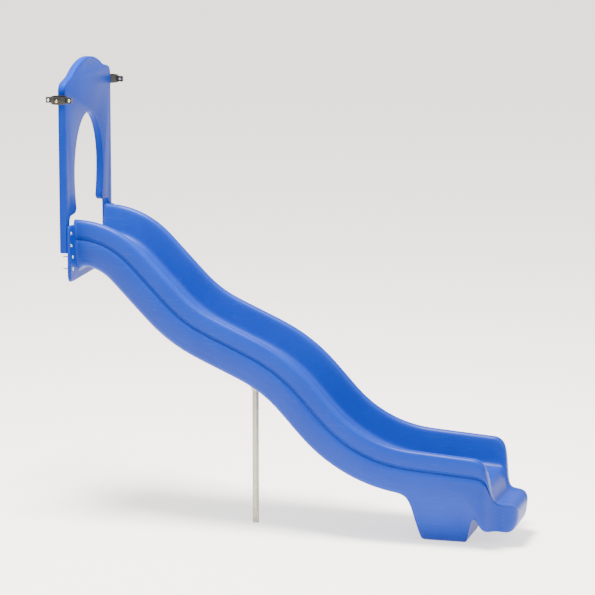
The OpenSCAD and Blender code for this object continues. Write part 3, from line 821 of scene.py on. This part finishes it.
def rub_marks():
    """Fine scratches that run mostly one way, gathered in patches."""
    stretch = ("Stretch", "NodeSocketVector", (3.0, 160.0, 160.0))
    tree, given = new_group("rub_marks", [PLACE, stretch, ("Cover", NUMBER, 0.4)], ["Mask"])
    pulled = reckon_place(tree, "MULTIPLY", given["Place"], given["Stretch"])[0]
    lines = noise(tree, pulled, 1.6, 4.0)["Fac"]
    thin = fade_in(tree, lines, 0.60, 0.72)
    areas = noise(tree, given["Place"], 3.2, 3.0)["Fac"]
    gathered = fade_in(tree, reckon(tree, "ADD", areas, given["Cover"]), 0.80, 1.05)
    return finish_group(tree, Mask=reckon(tree, "MULTIPLY", thin, gathered))


def settled_dust():
    """Dust that lies on faces turned upwards, thicker in patches."""
    tree, given = new_group("settled_dust", [PLACE, ("Amount", NUMBER, 0.3)], ["Mask"])
    facing = add(tree, "ShaderNodeNewGeometry").outputs["Normal"]
    height = add(tree, "ShaderNodeSeparateXYZ", {"Vector": facing}).outputs["Z"]
    up = fade_in(tree, height, 0.35, 1.0)
    patches = noise(tree, given["Place"], 9.0, 8.0, Roughness=0.7)["Fac"]
    thick = fade_in(tree, patches, 0.35, 0.72)
    lying = reckon(tree, "MULTIPLY", up, thick)
    return finish_group(tree, Mask=reckon(tree, "MULTIPLY", lying, given["Amount"]))


def edge_wear():
    """Edges and corners, found by comparing each face's direction with a rounded one."""
    tree, given = new_group(
        "edge_wear", [PLACE, ("Width", NUMBER, 0.002), ("Amount", NUMBER, 1.0)], ["Mask"]
    )
    facing = add(tree, "ShaderNodeNewGeometry").outputs["Normal"]
    rounded = add(tree, "ShaderNodeBevel", {"Radius": given["Width"]}, samples=4).outputs["Normal"]
    match = reckon_place(tree, "DOT_PRODUCT", facing, rounded)["Value"]
    edge = fade_in(tree, match, 0.985, 0.90)
    broken = noise(tree, given["Place"], 60.0, 4.0)["Fac"]
    chips = fade_in(tree, broken, 0.42, 0.58)
    worn = reckon(tree, "MULTIPLY", edge, chips)
    return finish_group(tree, Mask=reckon(tree, "MULTIPLY", worn, given["Amount"]))


def zinc_spangle():
    """The leafy crystals of a hot zinc coat: a shade for each and a faint raised edge."""
    tree, given = new_group("zinc_spangle", [PLACE, ("Size", NUMBER, 70.0)], ["Shade", "Height"])
    bent = noise(tree, given["Place"], 45.0, 3.0)["Color"]
    shift = reckon_place(tree, "MULTIPLY", bent, (0.02, 0.02, 0.02))[0]
    place = reckon_place(tree, "ADD", given["Place"], shift)[0]
    leaves = add(tree, "ShaderNodeTexVoronoi", {"Vector": place, "Scale": given["Size"]}).outputs
    shade = add(tree, "ShaderNodeSeparateColor", {"Color": leaves["Color"]}).outputs["Red"]
    return finish_group(tree, Shade=shade, Height=leaves["Distance"])


def thread_turns():
    """The turns of a rolled thread along X, only where the part lies behind the given place."""
    tree, given = new_group(
        "thread_turns", [PLACE, ("Pitch", NUMBER, 0.0016), ("Behind", NUMBER, 0.0)],
        ["Height", "Mask"],
    )
    x = add(tree, "ShaderNodeSeparateXYZ", {"Vector": given["Place"]}).outputs["X"]
    turns = reckon(tree, "DIVIDE", x, given["Pitch"])
    tooth = reckon(tree, "PINGPONG", turns, 1.0)
    here = reckon(tree, "LESS_THAN", x, given["Behind"])
    return finish_group(tree, Height=reckon(tree, "MULTIPLY", tooth, here), Mask=here)


GRAIN = mould_grain()
MOTTLE = sun_mottle()
RUBS = rub_marks()
DUST = settled_dust()
WEAR = edge_wear()
SPANGLE = zinc_spangle()
THREAD = thread_turns()


# ---- Finishes ----

BLUE = (0.003, 0.026, 0.260, 1)
BLUE_PALE = (0.004, 0.034, 0.315, 1)
BLUE_RUBBED = (0.022, 0.075, 0.390, 1)
DUST_TONE = (0.30, 0.29, 0.26, 1)
COAT = (0.004, 0.003, 0.003, 1)
COAT_DUSTY = (0.07, 0.06, 0.05, 1)
COAT_WORN = (0.20, 0.19, 0.18, 1)
KHAKI_DEEP = (0.36, 0.345, 0.27, 1)
KHAKI_PALE = (0.50, 0.48, 0.39, 1)
KHAKI_STREAK = (0.60, 0.585, 0.50, 1)
FLOOR_DEEP = (0.88, 0.85, 0.77, 1)
FLOOR_PALE = (0.92, 0.90, 0.83, 1)
FLOOR_GLOW = (1.0, 0.965, 0.90, 1)
FLOOR_GLOW_STRENGTH = 1.35


def new_finish(name):
    material = bpy.data.materials.new(name)
    material.use_nodes = True
    tree = material.node_tree
    tree.nodes.clear()
    shader = add(tree, "ShaderNodeBsdfPrincipled")
    add(tree, "ShaderNodeOutputMaterial", {"Surface": shader.outputs[0]})
    place = add(tree, "ShaderNodeTexCoord").outputs["Object"]
    return material, tree, shader, place


def use(tree, group, **values):
    """Places a shared group with this finish's own values."""
    return add(tree, "ShaderNodeGroup", values, node_tree=group).outputs


def cloud(tree, place, size, amount, middle):
    """Slow patches between 0 and 1, round the given middle."""
    patch = use(tree, MOTTLE, Place=place, Size=size, Amount=amount)["Shade"]
    return reckon(tree, "ADD", patch, middle, clamp=True)


def lay(tree, shader, tone, rough=None):
    """Feeds the finish's colour and, if given, its roughness."""
    tree.links.new(tone, shader.inputs["Base Color"])
    if rough:
        tree.links.new(rough, shader.inputs["Roughness"])


def bump(tree, shader, height, strength, distance):
    values = {"Height": height, "Strength": strength, "Distance": distance}
    tree.links.new(add(tree, "ShaderNodeBump", values).outputs[0], shader.inputs["Normal"])


def moulded_blue(name, cover, gloss):
    """Rotomoulded polyethylene, satin and faintly peeled; cover is how far it is rubbed."""
    material, tree, shader, place = new_finish(name)
    tone = mix(tree, cloud(tree, place, 2.2, 2.0, 0.35), BLUE, BLUE_PALE)
    marks = use(tree, RUBS, Place=place, Cover=cover)["Mask"]
    tone = mix(tree, reckon(tree, "MULTIPLY", marks, 0.55), tone, BLUE_RUBBED)
    dust = use(tree, DUST, Place=place, Amount=0.02)["Mask"]
    tone = mix(tree, dust, tone, DUST_TONE)
    duller = reckon(tree, "ADD", marks, dust, clamp=True)
    lay(tree, shader, tone, between(tree, duller, 0.40, 0.62))
    shader.inputs["IOR"].default_value = 1.50
    shader.inputs["Specular IOR Level"].default_value = gloss
    grain = use(tree, GRAIN, Place=place, Peel=0.10, Swell=1.0)["Height"]
    bump(tree, shader, grain, 0.22, 0.004)
    return material


def coated_black(name):
    """Black powder coat on a casting, with its fine texture and rubbed edges."""
    material, tree, shader, place = new_finish(name)
    worn = use(tree, WEAR, Place=place, Width=0.0018, Amount=0.45)["Mask"]
    dust = use(tree, DUST, Place=place, Amount=0.08)["Mask"]
    tone = mix(tree, dust, COAT, COAT_DUSTY)
    tone = mix(tree, worn, tone, COAT_WORN)
    lay(tree, shader, tone, between(tree, dust, 0.42, 0.75))
    tree.links.new(worn, shader.inputs["Metallic"])
    grain = use(tree, GRAIN, Place=place, Peel=1.0, Swell=0.2)["Height"]
    bump(tree, shader, grain, 0.35, 0.0006)
    return material


def plated(name, dull, bright, smoothest, roughest, threaded=False):
    """A plated or turned metal, with a cloudy tone, bright rubbed edges and, if asked, a thread."""
    material, tree, shader, place = new_finish(name)
    patch = cloud(tree, place, 90.0, 3.0, 0.5)
    tone = mix(tree, patch, dull, bright)
    worn = use(tree, WEAR, Place=place, Width=0.0008, Amount=0.8)["Mask"]
    tone = mix(tree, worn, tone, tuple(min(1.0, c * 1.25) for c in bright[:3]) + (1,))
    lay(tree, shader, tone, between(tree, patch, smoothest, roughest))
    shader.inputs["Metallic"].default_value = 1.0
    if threaded:
        turns = use(tree, THREAD, Place=place, Pitch=0.0008, Behind=-0.0005)["Height"]
        bump(tree, shader, turns, 1.0, 0.0008)
    else:
        marks = use(tree, RUBS, Place=place, Stretch=(260.0, 900.0, 260.0), Cover=0.5)["Mask"]
        bump(tree, shader, marks, 0.25, 0.0002)
    return material


def hot_zinc(name):
    """Weathered hot-dip galvanising, dull khaki grey with its spangle and streaks."""
    material, tree, shader, place = new_finish(name)
    leaf = use(tree, SPANGLE, Place=place, Size=85.0)
    streak = use(tree, RUBS, Place=place, Stretch=(120.0, 120.0, 2.0), Cover=0.45)["Mask"]
    tone = mix(tree, leaf["Shade"], KHAKI_DEEP, KHAKI_PALE)
    tone = mix(tree, streak, tone, KHAKI_STREAK)
    dust = use(tree, DUST, Place=place, Amount=0.4)["Mask"]
    tone = mix(tree, dust, tone, DUST_TONE)
    lay(tree, shader, tone, between(tree, leaf["Shade"], 0.46, 0.64))
    shader.inputs["Metallic"].default_value = 0.45
    bump(tree, shader, leaf["Height"], 0.20, 0.0008)
    return material


def pale_floor(name):
    """A plain matt floor with a faint glow, as under a lit studio sweep."""
    material, tree, shader, place = new_finish(name)
    lay(tree, shader, mix(tree, cloud(tree, place, 0.15, 0.10, 0.5), FLOOR_DEEP, FLOOR_PALE))
    shader.inputs["Roughness"].default_value = 0.85
    shader.inputs["Emission Color"].default_value = FLOOR_GLOW
    shader.inputs["Emission Strength"].default_value = FLOOR_GLOW_STRENGTH
    return material


BLUE_CHUTE = moulded_blue("moulded_blue_chute", cover=0.50, gloss=0.14)
BLUE_HOOD = moulded_blue("moulded_blue_hood", cover=0.22, gloss=0.05)
BLACK = coated_black("powder_coat_black")
ZINC = plated("zinc_plate", (0.52, 0.52, 0.50, 1), (0.68, 0.68, 0.65, 1), 0.28, 0.46)
ZINC_THREAD = plated(
    "zinc_thread", (0.50, 0.50, 0.48, 1), (0.66, 0.66, 0.63, 1), 0.30, 0.48, threaded=True
)
BRASS = plated("turned_brass", (0.56, 0.39, 0.13, 1), (0.72, 0.54, 0.22, 1), 0.22, 0.38)
GALVANISED = hot_zinc("hot_dip_zinc")


def dress(piece, material):
    piece.data.materials.clear()
    piece.data.materials.append(material)


def smooth(piece, degrees):
    select_only(piece)
    bpy.ops.object.shade_smooth_by_angle(angle=math.radians(degrees))


# ---- The pieces ----

chute = make_chute()
finish_moulding(chute)
smooth(chute, 50)
dress(chute, BLUE_CHUTE)
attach(chute, "root")
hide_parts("chute")

hood = make_hood()
smooth(hood, 30)
dress(hood, BLUE_HOOD)
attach(hood, "root")
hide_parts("hood")

# How far an edge is rounded, and in how many steps
CAST = (0.0022, 3)
BENT = (0.0012, 3)
CUT = (0.0008, 2)
TURNED = (0.0005, 2)
PRESSED = (0.0004, 2)
MOULDED = (0.0010, 3)

# Each softened node: its edges, its slot and its finish
SOFTENED = {
    "left_clamp_inner": (CAST, "clamp_coat", BLACK),
    "left_clamp_outer": (CAST, "clamp_coat", BLACK),
    "right_clamp_inner": (CAST, "clamp_coat", BLACK),
    "right_clamp_outer": (CAST, "clamp_coat", BLACK),
    "clamp_bolts": (TURNED, "zinc_steel", ZINC),
    "clamp_nuts": (CUT, "zinc_steel", ZINC),
    "clamp_lock_screws": (TURNED, "brass_fitting", BRASS),
    "hood_leg_bolts": (TURNED, "zinc_steel", ZINC),
    "hood_leg_washers": (PRESSED, "zinc_steel", ZINC),
    "deck_bolts": (TURNED, "zinc_steel", ZINC_THREAD),
    "deck_washers": (PRESSED, "zinc_steel", ZINC),
    "saddle_bracket": (BENT, "galvanised_steel", GALVANISED),
    "saddle_bolts": (TURNED, "zinc_steel", ZINC),
    "saddle_washers": (PRESSED, "zinc_steel", ZINC),
    "support_pipe": (CUT, "galvanised_steel", GALVANISED),
    "pipe_bolt": (TURNED, "zinc_steel", ZINC),
    "pipe_nut": (CUT, "zinc_steel", ZINC),
    "hood_vent_plug": (MOULDED, "moulded_shell", BLUE_HOOD),
}
for node, ((edge, steps), slot, finish) in SOFTENED.items():
    piece = soften(node, node + "_made", edge, steps)
    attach(piece, "root")
    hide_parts(node)
    dress(piece, finish)

weld = make_weld()
smooth(weld, 60)
dress(weld, GALVANISED)
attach(weld, "root")

dress(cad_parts["hood_edge_screws"], ZINC)
for node in ("hood_edge_inserts", "hood_leg_inserts", "saddle_inserts", "foot_inserts"):
    dress(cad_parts[node], BRASS)


# ---- Floor, light and camera ----

FLOOR_SIDE = 240
AIR_TONE = (1.0, 0.985, 0.95, 1)
AIR_STRENGTH = 0.95
MIDDLE = Vector((1.415, 0, -0.236))
CAMERA_PLACE = (7.175, -21.60, 4.25)
LENS = 212
SENSOR = 36

bpy.ops.object.select_all(action="DESELECT")
bpy.ops.mesh.primitive_plane_add(size=FLOOR_SIDE, location=(0, 0, GROUND))
floor = bpy.context.active_object
floor.name = "studio_floor"
dress(floor, pale_floor("pale_floor"))

sky = bpy.data.worlds.new("studio_air")
sky.use_nodes = True
air = sky.node_tree.nodes["Background"]
air.inputs["Color"].default_value = AIR_TONE
air.inputs["Strength"].default_value = AIR_STRENGTH
bpy.context.scene.world = sky


def aim_at_middle(thing, place):
    thing.location = place
    thing.rotation_euler = (MIDDLE - Vector(place)).to_track_quat("-Z", "Y").to_euler()
    bpy.context.scene.collection.objects.link(thing)


def add_lamp(name, place, size, power, tone):
    data = bpy.data.lights.new(name, "AREA")
    data.shape = "SQUARE"
    data.size = size
    data.energy = power
    data.color = tone
    lamp = bpy.data.objects.new(name, data)
    aim_at_middle(lamp, place)


add_lamp("overhead_softbox", (0.6, -1.6, 8.5), 3.0, 4200, (1.0, 0.98, 0.94))
add_lamp("front_softbox", (9.0, -5.0, 5.0), 4.0, 300, (1.0, 0.98, 0.95))

view = bpy.data.cameras.new("camera")
view.lens = LENS
view.sensor_width = SENSOR
camera = bpy.data.objects.new("camera", view)
aim_at_middle(camera, CAMERA_PLACE)
bpy.context.scene.camera = camera
